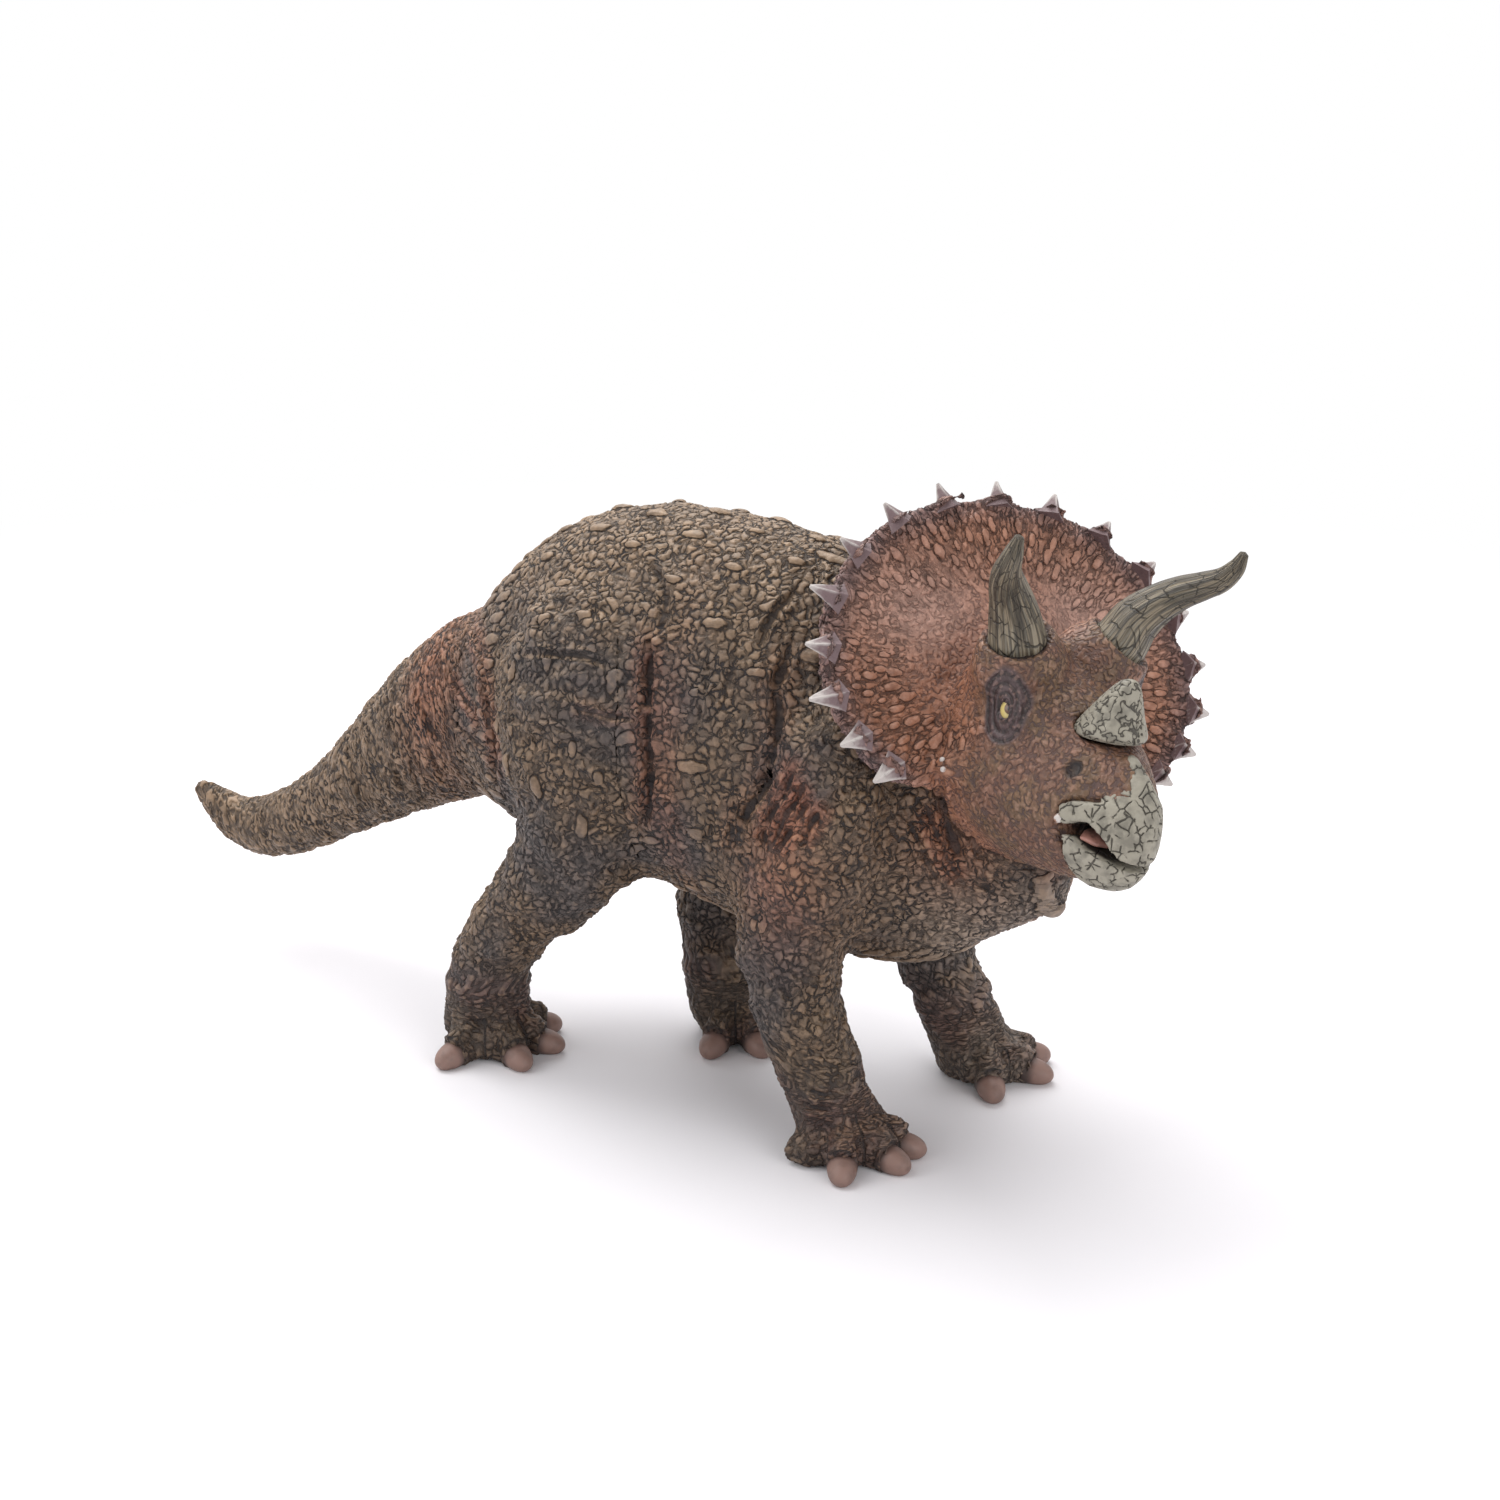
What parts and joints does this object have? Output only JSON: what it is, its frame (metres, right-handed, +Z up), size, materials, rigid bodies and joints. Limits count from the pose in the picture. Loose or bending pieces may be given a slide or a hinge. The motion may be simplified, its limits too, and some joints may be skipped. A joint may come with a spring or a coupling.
{
  "type": "dinosaur figure",
  "caption": "Standing three-horned dinosaur figure in solid PVC with a spiked frill, its head turned and slightly lowered, a beak and a curled tail tip",
  "frame": {"origin": "middle of the bounding box's bottom, on the surface that the figure stands on", "axes": "+X from the tail towards the head along the trunk, +Y to the figure's left, +Z up"},
  "size_m": [0.2194, 0.0738, 0.1165],
  "materials": {
    "body_skin": "moulded scaly skin, satin paint, brown-olive with darker wash in the grooves",
    "head_skin": "moulded scaly skin, satin paint, orange-brown with a dark rim on the frill",
    "horn": "olive-grey satin with dark crack lines",
    "beak": "pale grey-green satin with dark crack lines",
    "tongue": "semi-gloss pink"
  },
  "bodies": {
    "root": {"trunk": "body_skin", "tail": "body_skin", "front_leg_right": "body_skin", "front_leg_left": "body_skin", "rear_leg_right": "body_skin", "rear_leg_left": "body_skin", "head": "head_skin", "brow_horn_right": "horn", "brow_horn_left": "horn", "nose_horn": "beak", "upper_beak": "beak", "lower_beak": "beak", "tongue": "tongue"}
  },
  "joints": []
}
